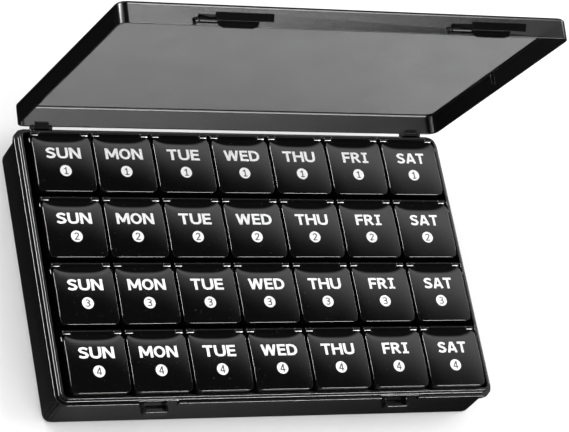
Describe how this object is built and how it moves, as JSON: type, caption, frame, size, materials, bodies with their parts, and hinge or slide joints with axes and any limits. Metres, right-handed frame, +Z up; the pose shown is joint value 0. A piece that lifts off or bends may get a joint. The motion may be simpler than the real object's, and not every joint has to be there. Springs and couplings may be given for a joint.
{
  "type": "monthly pill organizer",
  "caption": "Shallow black case with a hinged smoked lid and two snap latches, filled with a grid of small lidded boxes that hold the pills of one day each.",
  "frame": {"origin": "middle of the case's flat underside, on the surface it stands on", "axes": "+X along the rows of weekdays from Sunday to Saturday, +Y from the latch side to the hinge side, +Z up"},
  "size_m": [0.2314, 0.1584, 0.1904],
  "materials": {
    "case_black": "moulded, satin gloss",
    "lid_smoke": "smoked see-through plastic",
    "latch_black": "glossy",
    "box_black": "moulded, glossy",
    "day_lid_black": "moulded, glossy, with printed day and week"
  },
  "bodies": {
    "case_base": {"case_base": "case_black"},
    "case_lid": {"case_lid": "lid_smoke"},
    "left_latch": {"left_latch": "latch_black"},
    "right_latch": {"right_latch": "latch_black"},
    "box_sun_1": {"box_sun_1": "box_black"},
    "lid_sun_1": {"lid_sun_1": "day_lid_black"},
    "box_mon_1": {"box_mon_1": "box_black"},
    "lid_mon_1": {"lid_mon_1": "day_lid_black"},
    "box_tue_1": {"box_tue_1": "box_black"},
    "lid_tue_1": {"lid_tue_1": "day_lid_black"},
    "box_wed_1": {"box_wed_1": "box_black"},
    "lid_wed_1": {"lid_wed_1": "day_lid_black"},
    "box_thu_1": {"box_thu_1": "box_black"},
    "lid_thu_1": {"lid_thu_1": "day_lid_black"},
    "box_fri_1": {"box_fri_1": "box_black"},
    "lid_fri_1": {"lid_fri_1": "day_lid_black"},
    "box_sat_1": {"box_sat_1": "box_black"},
    "lid_sat_1": {"lid_sat_1": "day_lid_black"},
    "box_sun_2": {"box_sun_2": "box_black"},
    "lid_sun_2": {"lid_sun_2": "day_lid_black"},
    "box_mon_2": {"box_mon_2": "box_black"},
    "lid_mon_2": {"lid_mon_2": "day_lid_black"},
    "box_tue_2": {"box_tue_2": "box_black"},
    "lid_tue_2": {"lid_tue_2": "day_lid_black"},
    "box_wed_2": {"box_wed_2": "box_black"},
    "lid_wed_2": {"lid_wed_2": "day_lid_black"},
    "box_thu_2": {"box_thu_2": "box_black"},
    "lid_thu_2": {"lid_thu_2": "day_lid_black"},
    "box_fri_2": {"box_fri_2": "box_black"},
    "lid_fri_2": {"lid_fri_2": "day_lid_black"},
    "box_sat_2": {"box_sat_2": "box_black"},
    "lid_sat_2": {"lid_sat_2": "day_lid_black"},
    "box_sun_3": {"box_sun_3": "box_black"},
    "lid_sun_3": {"lid_sun_3": "day_lid_black"},
    "box_mon_3": {"box_mon_3": "box_black"},
    "lid_mon_3": {"lid_mon_3": "day_lid_black"},
    "box_tue_3": {"box_tue_3": "box_black"},
    "lid_tue_3": {"lid_tue_3": "day_lid_black"},
    "box_wed_3": {"box_wed_3": "box_black"},
    "lid_wed_3": {"lid_wed_3": "day_lid_black"},
    "box_thu_3": {"box_thu_3": "box_black"},
    "lid_thu_3": {"lid_thu_3": "day_lid_black"},
    "box_fri_3": {"box_fri_3": "box_black"},
    "lid_fri_3": {"lid_fri_3": "day_lid_black"},
    "box_sat_3": {"box_sat_3": "box_black"},
    "lid_sat_3": {"lid_sat_3": "day_lid_black"},
    "box_sun_4": {"box_sun_4": "box_black"},
    "lid_sun_4": {"lid_sun_4": "day_lid_black"},
    "box_mon_4": {"box_mon_4": "box_black"},
    "lid_mon_4": {"lid_mon_4": "day_lid_black"},
    "box_tue_4": {"box_tue_4": "box_black"},
    "lid_tue_4": {"lid_tue_4": "day_lid_black"},
    "box_wed_4": {"box_wed_4": "box_black"},
    "lid_wed_4": {"lid_wed_4": "day_lid_black"},
    "box_thu_4": {"box_thu_4": "box_black"},
    "lid_thu_4": {"lid_thu_4": "day_lid_black"},
    "box_fri_4": {"box_fri_4": "box_black"},
    "lid_fri_4": {"lid_fri_4": "day_lid_black"},
    "box_sat_4": {"box_sat_4": "box_black"},
    "lid_sat_4": {"lid_sat_4": "day_lid_black"}
  },
  "joints": [
    {"name": "case_lid_hinge", "type": "hinge", "parent": "case_base", "child": "case_lid", "pos_m": [0, 0.0733, 0.025], "axis": [-1, 0, 0], "range_deg": [-81.24, 24]},
    {"name": "left_latch_pivot", "type": "hinge", "parent": "case_lid", "child": "left_latch", "pos_m": [-0.064, 0.05248, 0.17063], "axis": [-1, 0, 0], "range_deg": [-63, 50]},
    {"name": "right_latch_pivot", "type": "hinge", "parent": "case_lid", "child": "right_latch", "pos_m": [0.064, 0.05248, 0.17063], "axis": [-1, 0, 0], "range_deg": [-63, 50]},
    {"name": "lift_sun_1", "type": "slide", "parent": "case_base", "child": "box_sun_1", "axis": [0, 0, 1], "range_m": [0, 0.028]},
    {"name": "open_sun_1", "type": "hinge", "parent": "box_sun_1", "child": "lid_sun_1", "pos_m": [-0.0945, 0.0673, 0.0297], "axis": [-1, 0, 0], "range_deg": [0, 90]},
    {"name": "lift_mon_1", "type": "slide", "parent": "case_base", "child": "box_mon_1", "axis": [0, 0, 1], "range_m": [0, 0.028]},
    {"name": "open_mon_1", "type": "hinge", "parent": "box_mon_1", "child": "lid_mon_1", "pos_m": [-0.063, 0.0673, 0.0297], "axis": [-1, 0, 0], "range_deg": [0, 90]},
    {"name": "lift_tue_1", "type": "slide", "parent": "case_base", "child": "box_tue_1", "axis": [0, 0, 1], "range_m": [0, 0.028]},
    {"name": "open_tue_1", "type": "hinge", "parent": "box_tue_1", "child": "lid_tue_1", "pos_m": [-0.0315, 0.0673, 0.0297], "axis": [-1, 0, 0], "range_deg": [0, 90]},
    {"name": "lift_wed_1", "type": "slide", "parent": "case_base", "child": "box_wed_1", "axis": [0, 0, 1], "range_m": [0, 0.028]},
    {"name": "open_wed_1", "type": "hinge", "parent": "box_wed_1", "child": "lid_wed_1", "pos_m": [0, 0.0673, 0.0297], "axis": [-1, 0, 0], "range_deg": [0, 90]},
    {"name": "lift_thu_1", "type": "slide", "parent": "case_base", "child": "box_thu_1", "axis": [0, 0, 1], "range_m": [0, 0.028]},
    {"name": "open_thu_1", "type": "hinge", "parent": "box_thu_1", "child": "lid_thu_1", "pos_m": [0.0315, 0.0673, 0.0297], "axis": [-1, 0, 0], "range_deg": [0, 90]},
    {"name": "lift_fri_1", "type": "slide", "parent": "case_base", "child": "box_fri_1", "axis": [0, 0, 1], "range_m": [0, 0.028]},
    {"name": "open_fri_1", "type": "hinge", "parent": "box_fri_1", "child": "lid_fri_1", "pos_m": [0.063, 0.0673, 0.0297], "axis": [-1, 0, 0], "range_deg": [0, 90]},
    {"name": "lift_sat_1", "type": "slide", "parent": "case_base", "child": "box_sat_1", "axis": [0, 0, 1], "range_m": [0, 0.028]},
    {"name": "open_sat_1", "type": "hinge", "parent": "box_sat_1", "child": "lid_sat_1", "pos_m": [0.0945, 0.0673, 0.0297], "axis": [-1, 0, 0], "range_deg": [0, 90]},
    {"name": "lift_sun_2", "type": "slide", "parent": "case_base", "child": "box_sun_2", "axis": [0, 0, 1], "range_m": [0, 0.028]},
    {"name": "open_sun_2", "type": "hinge", "parent": "box_sun_2", "child": "lid_sun_2", "pos_m": [-0.0945, 0.0323, 0.0297], "axis": [-1, 0, 0], "range_deg": [0, 90]},
    {"name": "lift_mon_2", "type": "slide", "parent": "case_base", "child": "box_mon_2", "axis": [0, 0, 1], "range_m": [0, 0.028]},
    {"name": "open_mon_2", "type": "hinge", "parent": "box_mon_2", "child": "lid_mon_2", "pos_m": [-0.063, 0.0323, 0.0297], "axis": [-1, 0, 0], "range_deg": [0, 90]},
    {"name": "lift_tue_2", "type": "slide", "parent": "case_base", "child": "box_tue_2", "axis": [0, 0, 1], "range_m": [0, 0.028]},
    {"name": "open_tue_2", "type": "hinge", "parent": "box_tue_2", "child": "lid_tue_2", "pos_m": [-0.0315, 0.0323, 0.0297], "axis": [-1, 0, 0], "range_deg": [0, 90]},
    {"name": "lift_wed_2", "type": "slide", "parent": "case_base", "child": "box_wed_2", "axis": [0, 0, 1], "range_m": [0, 0.028]},
    {"name": "open_wed_2", "type": "hinge", "parent": "box_wed_2", "child": "lid_wed_2", "pos_m": [0, 0.0323, 0.0297], "axis": [-1, 0, 0], "range_deg": [0, 90]},
    {"name": "lift_thu_2", "type": "slide", "parent": "case_base", "child": "box_thu_2", "axis": [0, 0, 1], "range_m": [0, 0.028]},
    {"name": "open_thu_2", "type": "hinge", "parent": "box_thu_2", "child": "lid_thu_2", "pos_m": [0.0315, 0.0323, 0.0297], "axis": [-1, 0, 0], "range_deg": [0, 90]},
    {"name": "lift_fri_2", "type": "slide", "parent": "case_base", "child": "box_fri_2", "axis": [0, 0, 1], "range_m": [0, 0.028]},
    {"name": "open_fri_2", "type": "hinge", "parent": "box_fri_2", "child": "lid_fri_2", "pos_m": [0.063, 0.0323, 0.0297], "axis": [-1, 0, 0], "range_deg": [0, 90]},
    {"name": "lift_sat_2", "type": "slide", "parent": "case_base", "child": "box_sat_2", "axis": [0, 0, 1], "range_m": [0, 0.028]},
    {"name": "open_sat_2", "type": "hinge", "parent": "box_sat_2", "child": "lid_sat_2", "pos_m": [0.0945, 0.0323, 0.0297], "axis": [-1, 0, 0], "range_deg": [0, 90]},
    {"name": "lift_sun_3", "type": "slide", "parent": "case_base", "child": "box_sun_3", "axis": [0, 0, 1], "range_m": [0, 0.028]},
    {"name": "open_sun_3", "type": "hinge", "parent": "box_sun_3", "child": "lid_sun_3", "pos_m": [-0.0945, -0.0027, 0.0297], "axis": [-1, 0, 0], "range_deg": [0, 90]},
    {"name": "lift_mon_3", "type": "slide", "parent": "case_base", "child": "box_mon_3", "axis": [0, 0, 1], "range_m": [0, 0.028]},
    {"name": "open_mon_3", "type": "hinge", "parent": "box_mon_3", "child": "lid_mon_3", "pos_m": [-0.063, -0.0027, 0.0297], "axis": [-1, 0, 0], "range_deg": [0, 90]},
    {"name": "lift_tue_3", "type": "slide", "parent": "case_base", "child": "box_tue_3", "axis": [0, 0, 1], "range_m": [0, 0.028]},
    {"name": "open_tue_3", "type": "hinge", "parent": "box_tue_3", "child": "lid_tue_3", "pos_m": [-0.0315, -0.0027, 0.0297], "axis": [-1, 0, 0], "range_deg": [0, 90]},
    {"name": "lift_wed_3", "type": "slide", "parent": "case_base", "child": "box_wed_3", "axis": [0, 0, 1], "range_m": [0, 0.028]},
    {"name": "open_wed_3", "type": "hinge", "parent": "box_wed_3", "child": "lid_wed_3", "pos_m": [0, -0.0027, 0.0297], "axis": [-1, 0, 0], "range_deg": [0, 90]},
    {"name": "lift_thu_3", "type": "slide", "parent": "case_base", "child": "box_thu_3", "axis": [0, 0, 1], "range_m": [0, 0.028]},
    {"name": "open_thu_3", "type": "hinge", "parent": "box_thu_3", "child": "lid_thu_3", "pos_m": [0.0315, -0.0027, 0.0297], "axis": [-1, 0, 0], "range_deg": [0, 90]},
    {"name": "lift_fri_3", "type": "slide", "parent": "case_base", "child": "box_fri_3", "axis": [0, 0, 1], "range_m": [0, 0.028]},
    {"name": "open_fri_3", "type": "hinge", "parent": "box_fri_3", "child": "lid_fri_3", "pos_m": [0.063, -0.0027, 0.0297], "axis": [-1, 0, 0], "range_deg": [0, 90]},
    {"name": "lift_sat_3", "type": "slide", "parent": "case_base", "child": "box_sat_3", "axis": [0, 0, 1], "range_m": [0, 0.028]},
    {"name": "open_sat_3", "type": "hinge", "parent": "box_sat_3", "child": "lid_sat_3", "pos_m": [0.0945, -0.0027, 0.0297], "axis": [-1, 0, 0], "range_deg": [0, 90]},
    {"name": "lift_sun_4", "type": "slide", "parent": "case_base", "child": "box_sun_4", "axis": [0, 0, 1], "range_m": [0, 0.028]},
    {"name": "open_sun_4", "type": "hinge", "parent": "box_sun_4", "child": "lid_sun_4", "pos_m": [-0.0945, -0.0377, 0.0297], "axis": [-1, 0, 0], "range_deg": [0, 90]},
    {"name": "lift_mon_4", "type": "slide", "parent": "case_base", "child": "box_mon_4", "axis": [0, 0, 1], "range_m": [0, 0.028]},
    {"name": "open_mon_4", "type": "hinge", "parent": "box_mon_4", "child": "lid_mon_4", "pos_m": [-0.063, -0.0377, 0.0297], "axis": [-1, 0, 0], "range_deg": [0, 90]},
    {"name": "lift_tue_4", "type": "slide", "parent": "case_base", "child": "box_tue_4", "axis": [0, 0, 1], "range_m": [0, 0.028]},
    {"name": "open_tue_4", "type": "hinge", "parent": "box_tue_4", "child": "lid_tue_4", "pos_m": [-0.0315, -0.0377, 0.0297], "axis": [-1, 0, 0], "range_deg": [0, 90]},
    {"name": "lift_wed_4", "type": "slide", "parent": "case_base", "child": "box_wed_4", "axis": [0, 0, 1], "range_m": [0, 0.028]},
    {"name": "open_wed_4", "type": "hinge", "parent": "box_wed_4", "child": "lid_wed_4", "pos_m": [0, -0.0377, 0.0297], "axis": [-1, 0, 0], "range_deg": [0, 90]},
    {"name": "lift_thu_4", "type": "slide", "parent": "case_base", "child": "box_thu_4", "axis": [0, 0, 1], "range_m": [0, 0.028]},
    {"name": "open_thu_4", "type": "hinge", "parent": "box_thu_4", "child": "lid_thu_4", "pos_m": [0.0315, -0.0377, 0.0297], "axis": [-1, 0, 0], "range_deg": [0, 90]},
    {"name": "lift_fri_4", "type": "slide", "parent": "case_base", "child": "box_fri_4", "axis": [0, 0, 1], "range_m": [0, 0.028]},
    {"name": "open_fri_4", "type": "hinge", "parent": "box_fri_4", "child": "lid_fri_4", "pos_m": [0.063, -0.0377, 0.0297], "axis": [-1, 0, 0], "range_deg": [0, 90]},
    {"name": "lift_sat_4", "type": "slide", "parent": "case_base", "child": "box_sat_4", "axis": [0, 0, 1], "range_m": [0, 0.028]},
    {"name": "open_sat_4", "type": "hinge", "parent": "box_sat_4", "child": "lid_sat_4", "pos_m": [0.0945, -0.0377, 0.0297], "axis": [-1, 0, 0], "range_deg": [0, 90]}
  ]
}
